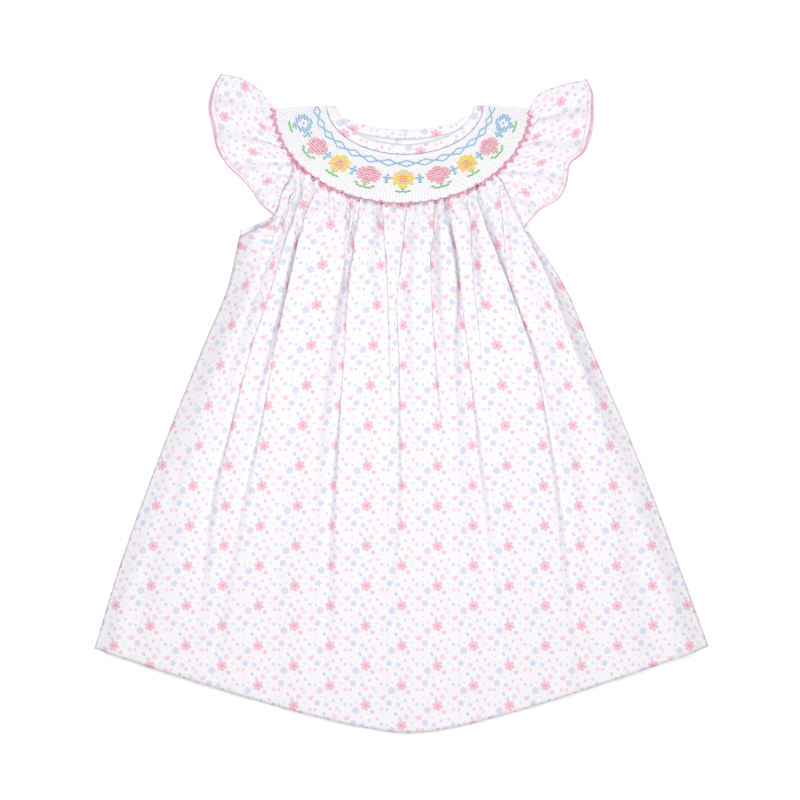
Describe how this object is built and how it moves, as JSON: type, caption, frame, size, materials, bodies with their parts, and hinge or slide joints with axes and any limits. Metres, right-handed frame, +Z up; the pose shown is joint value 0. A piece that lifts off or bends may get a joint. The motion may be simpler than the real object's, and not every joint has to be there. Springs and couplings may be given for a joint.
{
  "type": "smocked child's dress",
  "caption": "Child's A-line dress laid flat, with a smocked round yoke, flutter sleeves, bound neck and a gathered skirt; opens at the centre back.",
  "frame": {"origin": "on the surface the dress lies on, under the middle of its width and length", "axes": "+X across the dress to the right in the picture, +Y from the hem to the neck, +Z up out of the front"},
  "size_m": [0.554, 0.5939, 0.0121],
  "materials": {
    "printed_cotton": "fine plain-woven cotton with a small flower print",
    "white_cotton": "white plain-woven cotton, smocked",
    "pearl_button": "pearl white"
  },
  "bodies": {
    "root": {"skirt_front": "printed_cotton", "skirt_back": "printed_cotton", "yoke_front": "white_cotton", "yoke_back_left": "white_cotton", "yoke_back_right": "white_cotton", "neck_binding_front": "printed_cotton", "neck_binding_back_left": "printed_cotton", "neck_binding_back_right": "printed_cotton", "sleeve_left": "printed_cotton", "sleeve_right": "printed_cotton", "armhole_band_front_left": "printed_cotton", "armhole_band_front_right": "printed_cotton", "button_1": "pearl_button", "button_2": "pearl_button", "button_3": "pearl_button"}
  },
  "joints": []
}
